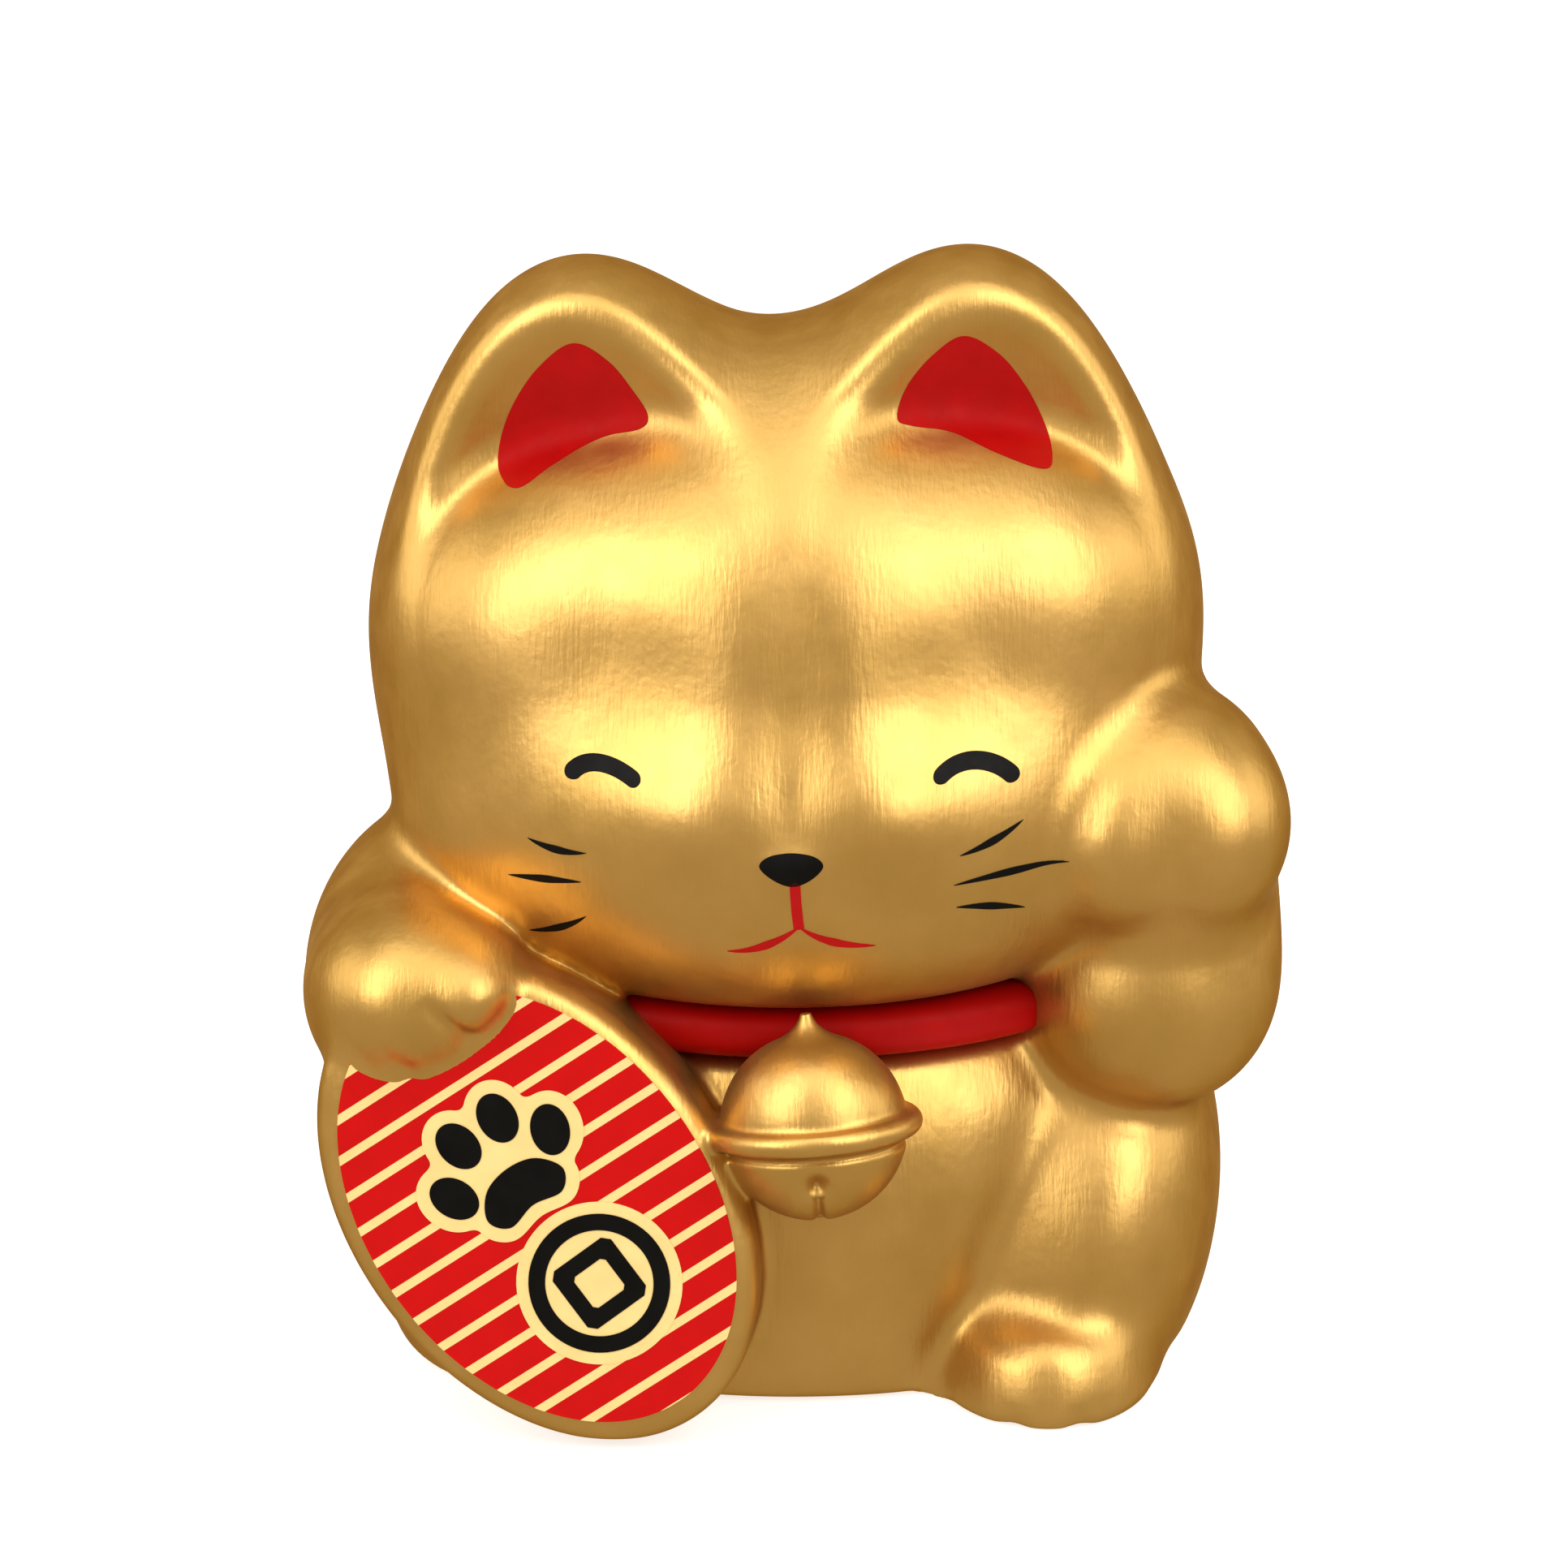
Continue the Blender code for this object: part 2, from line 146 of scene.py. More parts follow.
def crease(p, start, end, width):
    """A line in the front elevation: 0 at its start, 1 from its middle on, fading to 0 at its sides."""
    start, end = np.array(start, float), np.array(end, float)
    q = p[:, [0, 2]] - start
    along = end - start
    share = np.clip(q @ along / (along @ along), 0, 1)
    gap = lengths(q - share[:, None] * along)
    return np.exp(-(gap / width) ** 2) * np.minimum(2 * share, 1)


def leaned(p):
    middle = np.array(HEAD_MIDDLE)
    return (p - middle) @ rotation((0, HEAD_LEAN, 0)) + middle


def face_relief(p):
    """How far the modelled features of the face stand out: shallow eye hollows, full cheeks, nose."""
    relief = -2.0 * (swelling(p, -15.5, 82, 11, 8) + swelling(p, 17.5, 82, 11, 8))
    relief += -1.1 * swelling(p, 0.8, 82, 4.5, 11)
    relief += 1.6 * (swelling(p, -9.5, 69.5, 8, 6.5) + swelling(p, 11, 69.5, 8, 6.5))
    relief += 0.7 * (swelling(p, -27, 68, 9, 9) + swelling(p, 29, 68, 9, 9))
    relief += 0.9 * swelling(p, 0.8, 64.5, 3.4, 2.2)
    relief += -0.3 * swelling(p, 0.8, 70.5, 2.5, 4)
    return relief


def neck_groove(p):
    """The space round the neck, open outwards, in which the collar lies."""
    radii = np.array(COLLAR_RADII) - COLLAR_SECTION[0] + COLLAR_SINK
    q = (p[:, :2] - COLLAR_MIDDLE[:2]) / radii
    inside = (lengths(q) - 1) * radii.min()
    return np.maximum(np.abs(p[:, 2] - COLLAR_MIDDLE[2]) - GROOVE_HALF, -inside)


def head(p):
    q = leaned(p)
    hood = run_together(q, [(HEAD_MIDDLE, (45.7, 38.5, 37.5), 0), ((0.5, -2, 80.5), (44.2, 34, 30.5), 6)])
    for side in (-1, 1):
        hood = joined(hood, ellipsoid(q, (0.2 + side * 21.0, -6, 91), (19.3, 24, 31)), 13)
    for side in (-1, 1):
        scoop = ellipsoid(q, (0.6 + side * 25.5, -46, 98), (27, 33, 42))
        hood = common(hood, -scoop, 3.4)
    face = run_together(q, [
        ((0.5, -10, 74), (43.6, 33, 33.5), 0),
        ((-25, -11, 84), (17, 20, 15.5), 8),
        ((27, -11, 86), (17, 20, 15.5), 8),
        ((0.9, -13, 60), (42.8, 30.5, 21), 10),
        ((0.9, -31, 63), (21, 13.5, 13), 9),
        ((1.2, -25, 55), (25, 15.5, 12.2), 6),
    ])
    return common(joined(hood, face - face_relief(p) * (p[:, 1] < 0), 4.0), -neck_groove(p), 2.0)


def torso(p):
    lumps = [
        ((1, -2, 9), (46, 38, 27), 0),
        ((1, -6, 24), (40, 34.8, 26), 8),
        ((1, 3, 27), (45, 34, 28), 10),
        ((-31.5, -11, 12), (15.5, 27, 27), 5, (0, -14, 0)),
        ((33.0, -11, 12), (15.5, 27.5, 26), 6, (0, 14, 0)),
    ]
    haunch_line = crease(p, (31.5, 38), (17.0, 4), 3.0)
    form = run_together(p, lumps) + 0.8 * haunch_line * (p[:, 1] < -20)
    return common(common(form, -neck_groove(p), 2.0), -p[:, 2], 2.0)


def raised_arm(p):
    upper = run_together(p, [
        ((40.0, -21.5, 42.4), (14.2, 15.2, 13), 0),
        ((41.8, -18, 53), (12.8, 15.2, 17), 6),
    ])
    paw = run_together(p, [
        ((40.8, -26, 63.6), (13.0, 12, 12.2), 0),
        ((42.0, -17, 67.0), (9.5, 14, 9.0), 8),
        ((35.8, -31.0, 62.2), (8.4, 9.5, 9.0), 5),
        ((45.8, -30.0, 62.8), (7.8, 9.5, 9.0), 5),
    ])
    valley = swelling(p, 41.0, 60, 3.6, 7) * (p[:, 1] < -24)
    return joined(upper, paw + 0.6 * valley, 4.5)


def lowered_arm(p):
    arm = run_together(p, [
        ((-38.5, -12, 47.5), (11.5, 15, 12), 0, (30, 0, 0)),
        ((-41.5, -25, 45), (11, 17, 12), 8, (15, 0, 0)),
        ((-40.4, -37, 47.6), (10.3, 12.6, 9.4), 6),
        ((-33.4, -40, 49.6), (5.6, 9.4, 4.4), 4.5, (0, -20, 0)),
    ])
    toes = 0.7 * crease(p, (-38.2, 50.4), (-33.6, 45.6), 1.1)
    toes += 0.4 * crease(p, (-43.1, 45.5), (-39.8, 41.1), 1.1)
    return arm + toes * (p[:, 1] < -36)


def hind_paw(p):
    paw = common(ellipsoid(p, (28.8, -30, 0), (12.4, 16.5, 14.5)), p[:, 2] - 10.2, 4.0)
    paw = common(paw, -p[:, 2], 1.5)
    toes = crease(p, (25.0, 3.0), (25.0, -4), 1.3) + crease(p, (32.0, 3.2), (32.2, -4), 1.3)
    return paw + 0.35 * toes * (p[:, 1] < -36)


def tail(p):
    return ellipsoid(p, (15, 34, 15), (7.5, 9, 11), (0, 25, 0))


def koban_axes():
    """Columns: across the plate, along it, and out of its face."""
    face_forward = rotation((90 - KOBAN_BACK_LEAN, 0, 0))
    return rotation((0, 0, -KOBAN_TURN)) @ face_forward @ rotation((0, 0, KOBAN_ROLL))


def koban(p):
    q = (p - KOBAN_MIDDLE) @ koban_axes()
    radii = np.array(KOBAN_RADII)
    near, steep = lengths(q[:, :2] / radii), lengths(q[:, :2] / radii ** 2)
    side = near * (near - 1) / np.maximum(steep, 1e-6)
    face = np.abs(q[:, 2] + KOBAN_DEPTH / 2) - KOBAN_DEPTH / 2
    return common(common(side, face, 4.0), -p[:, 2], 1.5)


def bell(p):
    """A pellet bell in relief: ball, rim band with a line under it, peg, round hole and slit."""
    q = (p - BELL_MIDDLE) @ rotation(BELL_TILT)
    across = np.hypot(q[:, 0], q[:, 1])
    ball = ellipsoid(q, (0, 0, 0), (BELL_RADIUS, BELL_RADIUS, BELL_RADIUS))
    rim = np.hypot(np.maximum(across - BELL_RIM_RADIUS + BELL_RIM_HALF, 0), q[:, 2]) - BELL_RIM_HALF
    form = joined(ball, rim, 0.9)
    form += 0.45 * np.exp(-((q[:, 2] + 1.9) / 0.45) ** 2)
    peg = np.maximum(across - 1.9 + 0.35 * (q[:, 2] - 8.5), np.abs(q[:, 2] - 9.5) - 2.8)
    form = joined(form, peg, 2.2)
    front = q[:, 1] < 0
    hole = np.hypot(q[:, 0], q[:, 2] + BELL_HOLE_DROP)
    form += 1.5 * np.exp(-(hole / 1.2) ** 2) * front
    slit = np.exp(-(q[:, 0] / 0.5) ** 2) * (q[:, 2] < -BELL_SLIT_DROP)
    return form + 0.6 * slit * front


# Each part of the casting: its form, the fillet round it and the box that it lies in.
PARTS = {
    "head": (head, 0, (-50, -54, 36), (51, 45, 126)),
    "torso": (torso, 1.2, (-54, -50, -3), (56, 44, 60)),
    "raised_arm": (raised_arm, 3.4, (20, -48, 24), (60, 8, 84)),
    "lowered_arm": (lowered_arm, 2.6, (-58, -56, 28), (-20, 8, 68)),
    "hind_paw": (hind_paw, 3.5, (12, -54, -3), (48, -15, 16)),
    "tail": (tail, 2.0, (2, 22, -2), (28, 50, 32)),
    "koban_plaque": (koban, 1.6, (-56, -60, -4), (0, -22, 60)),
    "bell": (bell, 1.3, (-12, -60, 18), (18, -26, 52)),
}
FAR = 12.0     # a part's field at and beyond half this distance from its box


def part_form(name, p):
    """A part's own distance field, worked out only near its box."""
    shape, _, low, high = PARTS[name]
    near = ((p > np.array(low) - FAR / 2) & (p < np.array(high) + FAR / 2)).all(1)
    form = np.full(len(p), FAR)
    form[near] = shape(p[near])
    return form


def solid(p):
    """The whole cast form, with fillets where its parts meet."""
    form = part_form("head", p)
    for name, (_, fillet, _, _) in PARTS.items():
        if name != "head":
            form = joined(form, part_form(name, p), fillet)
    return form


def slot_box(p):
    across = np.abs(p[:, 0]) - SLOT_HALF[0]
    high = np.abs(p[:, 2] - SLOT_HEIGHT) - SLOT_HALF[1]
    return np.maximum(common(across, high, SLOT_CORNER), SLOT_FRONT - p[:, 1])


def underside(p):
    """The shallow recess of the base and the hole above it."""
    recess = ellipsoid(p * (1, 1, 0), (0, 0, 0), (*RECESS_RADII, 1))
    recess = np.maximum(recess, p[:, 2] - RECESS_DEPTH)
    hole = np.maximum(np.hypot(p[:, 0], p[:, 1]) - HOLE_RADIUS, p[:, 2] - HOLE_CUT_TOP)
    return np.minimum(recess, hole)


def ceramic(p):
    """The casting as it stands on the floor, with the slot and the underside cut out of it."""
    form = np.maximum(solid(p), -p[:, 2])
    form = common(form, -slot_box(p), 0.8)
    return common(form, -underside(p), 0.8)


def gradient(field, p, step=0.12):
    """Unit directions in which the field grows, and how fast it does."""
    corners = np.array([(1, -1, -1), (-1, -1, 1), (-1, 1, -1), (1, 1, 1)], float)
    total = sum(corner * field(p + step * corner)[:, None] for corner in corners) / (4 * step)
    length = np.maximum(np.linalg.norm(total, axis=1), 1e-6)
    return total / length[:, None], length


def settled(field, p, rounds=3):
    """Points moved onto the surface where the field is zero."""
    for _ in range(rounds):
        way, rate = gradient(field, p)
        p = p - way * np.clip(field(p) / rate, -0.5, 0.5)[:, None]
    return p


# Meshing ----------------------------------------------------------------------------------------------------

def level_set(field, low, high, cell):
    """Points and quads of the field's zero surface, sampled finely only close to it."""
    low, high = np.array(low, float), np.array(high, float)
    group = 4
    coarse = group * cell
    counts = np.ceil((high - low) / coarse).astype(int)
    middles = [low[k] + coarse * (np.arange(counts[k]) + 0.5) for k in range(3)]
    grid = np.stack(np.meshgrid(*middles, indexing="ij"), -1).reshape(-1, 3)
    rough = field(grid).reshape(counts)
    values = np.repeat(np.repeat(np.repeat(np.sign(rough) * 3 * cell, group, 0), group, 1), group, 2)
    blocks = np.argwhere(np.abs(rough) < 1.5 * coarse)
    inner = np.stack(np.meshgrid(*[np.arange(group)] * 3, indexing="ij"), -1).reshape(-1, 3)
    index = (blocks[:, None] * group + inner).reshape(-1, 3)
    values[tuple(index.T)] = np.clip(field(low + cell * (index + 0.5)), -3 * cell, 3 * cell)
    volume = openvdb.FloatGrid(3 * cell)
    volume.copyFromArray(values.astype(np.float32))
    points, quads = volume.convertToQuads(isovalue=0.0)
    points = low + cell * (points + 0.5)
    within = ((points > low + 2 * cell) & (points < high - 2 * cell)).all(1)
    return points, quads[within[quads].all(1)]


def used_only(points, faces):
    used = np.unique(faces)
    renumber = np.full(len(points), -1)
    renumber[used] = np.arange(len(used))
    return points[used], renumber[faces]


def rim_edges(faces):
    """Directed edges that only one face uses."""
    edges = np.concatenate([faces[:, [k, (k + 1) % faces.shape[1]]] for k in range(faces.shape[1])])
    count = len(faces) and faces.max() + 1
    forward = edges[:, 0] * count + edges[:, 1]
    backward = edges[:, 1] * count + edges[:, 0]
    return edges[~np.isin(forward, backward)]


def walled(outer, inner, faces):
    """A closed shell: the outer faces, the inner ones turned round, and a wall along the open edges."""
    rim = rim_edges(faces)
    shift = len(outer)
    wall = np.stack([rim[:, 1], rim[:, 0], rim[:, 0] + shift, rim[:, 1] + shift], 1)
    return np.concatenate([outer, inner]), np.concatenate([faces, faces[:, ::-1] + shift, wall])


def new_piece(name, points, faces, material, body="figurine", stands_for=()):
    """A smooth-shaded piece on one of the bodies; points are millimetres in the cat's frame."""
    mesh = bpy.data.meshes.new(name)
    mesh.from_pydata(to_row(points).tolist(), [], [tuple(face) for face in faces.tolist()])
    mesh.update()
    mesh.shade_smooth()
    piece = bpy.data.objects.new(name, mesh)
    bpy.context.scene.collection.objects.link(piece)
    mesh.materials.append(material)
    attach(piece, body)
    if stands_for:
        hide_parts(*stands_for)
    return piece


# Materials --------------------------------------------------------------------------------------------------

class Finish:
    """A Principled material and short ways to add nodes to it."""

    def __init__(self, name, colour, roughness, metallic=0.0):
        self.material = bpy.data.materials.new(name)
        self.material.use_nodes = True
        self.nodes = self.material.node_tree.nodes
        self.links = self.material.node_tree.links
        self.shader = self.nodes["Principled BSDF"]
        self.shader.inputs["Base Color"].default_value = (*colour, 1)
        self.shader.inputs["Roughness"].default_value = roughness
        self.shader.inputs["Metallic"].default_value = metallic
        self.place = self.nodes.new("ShaderNodeTexCoord").outputs["Object"]

    def noise(self, scale, detail=3.0, stretch=(1, 1, 1), turn=(0, 0, 0)):
        mapping = self.nodes.new("ShaderNodeMapping")
        mapping.inputs["Scale"].default_value = stretch
        mapping.inputs["Rotation"].default_value = [math.radians(angle) for angle in turn]
        noise = self.nodes.new("ShaderNodeTexNoise")
        noise.inputs["Scale"].default_value = scale
        noise.inputs["Detail"].default_value = detail
        self.links.new(self.place, mapping.inputs["Vector"])
        self.links.new(mapping.outputs["Vector"], noise.inputs["Vector"])
        return noise.outputs["Fac"]

    def ranged(self, value, low, high, start=0.3, stop=0.7):
        span = self.nodes.new("ShaderNodeMapRange")
        for name, number in (("From Min", start), ("From Max", stop), ("To Min", low), ("To Max", high)):
            span.inputs[name].default_value = number
        self.links.new(value, span.inputs["Value"])
        return span.outputs["Result"]

    def colours(self, value, first, second):
        mix = self.nodes.new("ShaderNodeMix")
        mix.data_type = "RGBA"
        mix.inputs[6].default_value = (*first, 1)
        mix.inputs[7].default_value = (*second, 1)
        self.links.new(value, mix.inputs["Factor"])
        self.links.new(mix.outputs[2], self.shader.inputs["Base Color"])

    def rough(self, value, low, high):
        self.links.new(self.ranged(value, low, high), self.shader.inputs["Roughness"])

    def bump(self, value, strength, depth):
        bump = self.nodes.new("ShaderNodeBump")
        bump.inputs["Strength"].default_value = strength
        bump.inputs["Distance"].default_value = depth
        self.links.new(value, bump.inputs["Height"])
        normal = self.shader.inputs["Normal"]
        if normal.is_linked:
            self.links.new(normal.links[0].from_socket, bump.inputs["Normal"])
        self.links.new(bump.outputs["Normal"], normal)


def gold_paint():
    """Satin metallic paint, rubbed down in short strokes that run different ways."""
    gold = Finish("gold_paint", (0.69, 0.43, 0.13), 0.38, metallic=0.93)
    gold.shader.inputs["Specular Tint"].default_value = (0.50, 0.27, 0.08, 1)
    mottle = gold.noise(90, 5)
    gold.colours(gold.ranged(mottle, 0, 1), (0.64, 0.395, 0.11), (0.74, 0.465, 0.15))
    gold.rough(gold.noise(260, 4), 0.34, 0.43)
    gold.bump(gold.noise(1.0, 2, (2600, 500, 260), (0, 38, 0)), 0.12, 0.0003)
    gold.bump(gold.noise(1.0, 2, (2400, 500, 300), (0, -28, 0)), 0.08, 0.0003)
    gold.bump(gold.noise(900, 3), 0.2, 0.0002)
    return gold.material


def plain_paint(name, colour, darker, roughness):
    paint = Finish(name, colour, roughness)
    paint.shader.inputs["Specular IOR Level"].default_value = 0.12
    paint.colours(paint.ranged(paint.noise(300, 4), 0, 1), darker, colour)
    paint.rough(paint.noise(700, 3), roughness - 0.05, roughness + 0.07)
    paint.bump(paint.noise(900, 2), 0.05, 0.0001)
    return paint.material


GOLD = gold_paint()
RED = plain_paint("red_paint", (0.39, 0.0, 0.0), (0.34, 0.0, 0.0), 0.55)
LABEL_RED = plain_paint("label_red", (0.49, 0.0, 0.0), (0.45, 0.0, 0.0), 0.5)
CREAM = plain_paint("label_cream", (0.78, 0.58, 0.24), (0.72, 0.53, 0.21), 0.45)
BLACK = plain_paint("black_paint", (0.003, 0.003, 0.003), (0.0015, 0.0015, 0.0015), 0.5)
PLASTIC = plain_paint("stopper_plastic", (0.62, 0.60, 0.55), (0.57, 0.55, 0.50), 0.5)


# The cast ceramic -------------------------------------------------------------------------------------------

OVERLAP = 0.4      # how far one part's skin runs on below its neighbour's
TUCK = 0.25        # and how deep its edge goes
WALL_STEPS = 6


def pushed_in(points):
    """Points carried one wall's thickness into the ceramic, and the outward directions there."""
    for _ in range(WALL_STEPS):
        way, _ = gradient(ceramic, points, 0.3)
        points = points - way * (WALL / WALL_STEPS)
    way, _ = gradient(ceramic, points, 0.3)
    return points, way


def cast_part(name, cell):
    """One part of the casting: the skin where this form is the outermost, closed behind by its wall."""
    _, _, low, high = PARTS[name]

    def lead(p):
        return part_form(name, p) - np.min([part_form(other, p) for other in PARTS if other != name], axis=0)

    points, faces = level_set(ceramic, low, high, cell)
    faces = faces[(lead(points) < OVERLAP)[faces].any(1)]
    too_deep = (solid(points) < -WALL) & (points[:, 2] > HOLE_TOP)
    faces = faces[~too_deep[faces].any(1)]
    points, faces = used_only(points, faces)
    points = settled(ceramic, points)
    normals, _ = gradient(ceramic, points)
    points -= normals * (TUCK * np.clip(lead(points) / OVERLAP, 0, 1))[:, None]
    inner, inner_normals = pushed_in(points)
    shell, shell_faces = walled(points, inner, faces)
    piece = new_piece(name + "_skin", shell, shell_faces, GOLD, stands_for=[name])
    vertex_normals = np.concatenate([normals, -inner_normals])
    piece.data.normals_split_custom_set_from_vertices(vertex_normals.tolist())


for part_name, cell_size, slot_name in (
    ("head", 0.62, "gold_head"), ("torso", 0.75, "gold_torso"), ("raised_arm", 0.55, "gold_raised_arm"),
    ("lowered_arm", 0.5, "gold_lowered_arm"), ("hind_paw", 0.42, "gold_hind_paw"), ("tail", 0.6, "gold_tail"),
    ("koban_plaque", 0.5, "gold_koban"), ("bell", 0.28, "gold_bell"),
):
    cast_part(part_name, cell_size)


# Collar -----------------------------------------------------------------------------------------------------

def make_collar():
    """A soft band of oval section round the neck."""
    around = np.linspace(0, 2 * math.pi, 200, endpoint=False)
    section = np.linspace(0, 2 * math.pi, 28, endpoint=False)
    phase, turn = np.meshgrid(section, around)
    flatness = 0.8      # 1 is a plain oval; less is flatter on its sides
    reach = COLLAR_SECTION[0] * np.sign(np.cos(phase)) * np.abs(np.cos(phase)) ** flatness
    rise = COLLAR_SECTION[1] * np.sign(np.sin(phase)) * np.abs(np.sin(phase)) ** flatness
    x = COLLAR_MIDDLE[0] + (COLLAR_RADII[0] + reach) * np.cos(turn)
    y = COLLAR_MIDDLE[1] + (COLLAR_RADII[1] + reach) * np.sin(turn)
    points = np.stack([x, y, COLLAR_MIDDLE[2] + rise], -1).reshape(-1, 3)
    number = np.arange(len(around) * len(section)).reshape(len(around), len(section))
    ahead, over = np.roll(number, -1, 0), np.roll(number, -1, 1)
    faces = np.stack([number, ahead, np.roll(ahead, -1, 1), over], -1).reshape(-1, 4)
    new_piece("collar_band", points, faces, RED, stands_for=["collar"])


make_collar()


# Painted films ----------------------------------------------------------------------------------------------

IN_FRONT = -62.0       # y of a plane clear of the whole cat
STEPS_BACK = 45


def on_skin(flat, lift):
    """Points (x, z) of the front elevation carried back onto the ceramic and lifted off it."""
    p = np.column_stack([flat[:, 0], np.full(len(flat), IN_FRONT), flat[:, 1]])
    for _ in range(STEPS_BACK):
        p[:, 1] += np.clip(0.7 * solid(p), -0.5, 4.0)
    normals, _ = gradient(solid, p)
    return p + normals * lift


def on_plaque(flat, lift):
    """Points on the plate's face, across and along it, lifted off it."""
    local = np.column_stack([flat + (LABEL_SHIFT, 0), np.full(len(flat), lift)])
    return local @ koban_axes().T + KOBAN_MIDDLE


def grid_faces(rows, columns, closed):
    number = np.arange(rows * columns).reshape(rows, columns)
    right = np.roll(number, -1, 1)
    faces = np.stack([number[:-1], right[:-1], right[1:], number[1:]], -1)
    if not closed:
        faces = faces[:, :-1]
    return faces.reshape(-1, 4)


def film(name, rows, place, material, lift, depth, closed=False, stands_for=()):
    """A thin closed layer over a grid of flat points; place carries them onto the object."""
    rows = np.asarray(rows, float)
    faces = grid_faces(rows.shape[0], rows.shape[1], closed)
    flat = rows.reshape(-1, 2)
    outer, inner = place(flat, lift), place(flat, -depth)
    a, b, c = (outer[faces[:, k]] for k in (0, 1, 2))
    outward = (np.cross(b - a, c - a) * (outer - inner)[faces[:, 0]]).sum()
    if outward < 0:
        faces = faces[:, ::-1]
    points, faces = walled(outer, inner, faces)
    piece = new_piece(name, points, faces, material, stands_for=stands_for)
    piece.data.set_sharp_from_angle(angle=math.radians(40))
    return piece


def rounded(outline, count=96):
    """A smooth closed curve through a few points (Catmull-Rom), evenly stepped between them."""
    outline = np.array(outline, float)
    steps = count // len(outline)
    share = np.arange(steps) / steps
    before, after, beyond = (np.roll(outline, k, 0) for k in (1, -1, -2))
    curve = []
    for p0, p1, p2, p3 in zip(before, outline, after, beyond):
        t = share[:, None]
        curve.append(0.5 * (2 * p1 + (p2 - p0) * t + (2 * p0 - 5 * p1 + 4 * p2 - p3) * t ** 2
                            + (3 * p1 - p0 - 3 * p2 + p3) * t ** 3))
    return np.concatenate(curve)


def filled(outline, rings=10):
    """Rows of a star-shaped patch, from its edge to its middle."""
    middle = outline.mean(0)
    shares = np.append(np.linspace(1, 0.06, rings), 0.001)
    return [middle + (outline - middle) * share for share in shares]


def stroke(path, width, steps=36, across=5, taper=0.0):
    """Rows of a brush stroke along a curve through a few points, with round or tapering ends."""
    path = np.array(path, float)
    length = np.append(0, np.cumsum(np.linalg.norm(np.diff(path, axis=0), axis=1)))
    t = (1 - np.cos(np.linspace(0, math.pi, steps))) / 2
    order = min(len(path) - 1, 3)
    curves = [np.polyfit(length / length[-1], path[:, k], order) for k in (0, 1)]
    line = np.column_stack([np.polyval(curve, t) for curve in curves])
    way = np.gradient(line, axis=0)
    way /= np.linalg.norm(way, axis=1)[:, None]
    side = np.column_stack([-way[:, 1], way[:, 0]])
    end = np.minimum(t, 1 - t) * length[-1]
    if taper:
        half = width / 2 * np.clip(end / (taper * length[-1]), 0, 1) ** 0.7
    else:
        half = width / 2 * np.sqrt(np.clip(1 - (1 - np.minimum(end / (width / 2), 1)) ** 2, 0, 1))
    half = np.maximum(half, 0.03)
    return [line + side * (half * share)[:, None] for share in np.linspace(-1, 1, across)]


PAINT_LIFT = 0.07
FILM_DEPTH = 0.3       # how far a film goes in below the surface that it lies on
EYE_WIDTH = 1.75
MOUTH_WIDTH = 1.05
WHISKER_WIDTH = 0.85


def paint(name, rows, material, closed=False):
    film(name, rows, on_skin, material, PAINT_LIFT, FILM_DEPTH, closed)


def paint_face():
    eye_left = [(-22.9, 71.9), (-20.9, 73.6), (-18.3, 73.6), (-15.3, 72.2)]
    eye_right = [(16.0, 72.5), (18.4, 74.0), (21.4, 73.9), (24.7, 71.7)]
    paint("eye_left", stroke(eye_left, EYE_WIDTH), BLACK)
    paint("eye_right", stroke(eye_right, EYE_WIDTH), BLACK)
    nose = rounded([(-2.6, 64.6), (-1.6, 65.7), (0.8, 66.1), (3.2, 65.7), (4.1, 64.6), (2.7, 63.1),
                    (0.8, 62.4), (-1.2, 63.2)])
    paint("nose", filled(nose), BLACK, closed=True)
    stem = [(1.15, 62.8), (1.3, 60), (1.6, 57.2)]
    mouth_left = [(1.7, 57.6), (-0.4, 56.0), (-2.9, 54.8), (-6.0, 54.3)]
    mouth_right = [(1.5, 57.6), (3.4, 56.3), (5.8, 55.4), (9.7, 54.9)]
    paint("mouth_stem", stroke(stem, 1.15, taper=0.02), RED)
    paint("mouth_left", stroke(mouth_left, MOUTH_WIDTH, taper=0.55), RED)
    paint("mouth_right", stroke(mouth_right, MOUTH_WIDTH, taper=0.55), RED)
    whiskers = {
        "left_1": [(-27.3, 64.9), (-24.4, 64.2), (-21.0, 64.3)],
        "left_2": [(-29.5, 60.2), (-21.6, 60.9)],
        "left_3": [(-27.4, 53.6), (-24.4, 54.6), (-21.1, 56.8)],
        "right_1": [(18.6, 64.7), (21.6, 65.6), (25.4, 67.6)],
        "right_2": [(18.0, 61.4), (24.4, 62.1), (30.4, 62.5)],
        "right_3": [(18.3, 58.7), (22.0, 58.3), (25.7, 57.4)],
    }
    for name, path in whiskers.items():
        paint("whisker_" + name, stroke(path, WHISKER_WIDTH, taper=0.45, across=3), BLACK)


def paint_ears():
    left = [(-22.8, 113.9), (-19.0, 112.0), (-16.2, 108.6), (-14.7, 106.2), (-15.6, 104.8), (-19.6, 103.6),
            (-25.0, 101.0), (-28.8, 98.9), (-30.9, 99.6), (-30.9, 102.6), (-29.4, 106.8), (-26.6, 111.0)]
    right = [(19.4, 114.8), (23.2, 112.6), (26.1, 109.0), (28.2, 105.0), (29.0, 102.2), (28.0, 101.3),
             (23.2, 102.7), (18.0, 104.5), (13.8, 105.4), (12.2, 106.4), (13.3, 109.6), (16.0, 112.8)]
    paint("ear_left", filled(rounded(left, 144), 16), RED, closed=True)
    paint("ear_right", filled(rounded(right, 144), 16), RED, closed=True)


paint_face()
paint_ears()


# Printed label ----------------------------------------------------------------------------------------------

LABEL_LIFT = 0.12
PRINT_STEP = 0.07


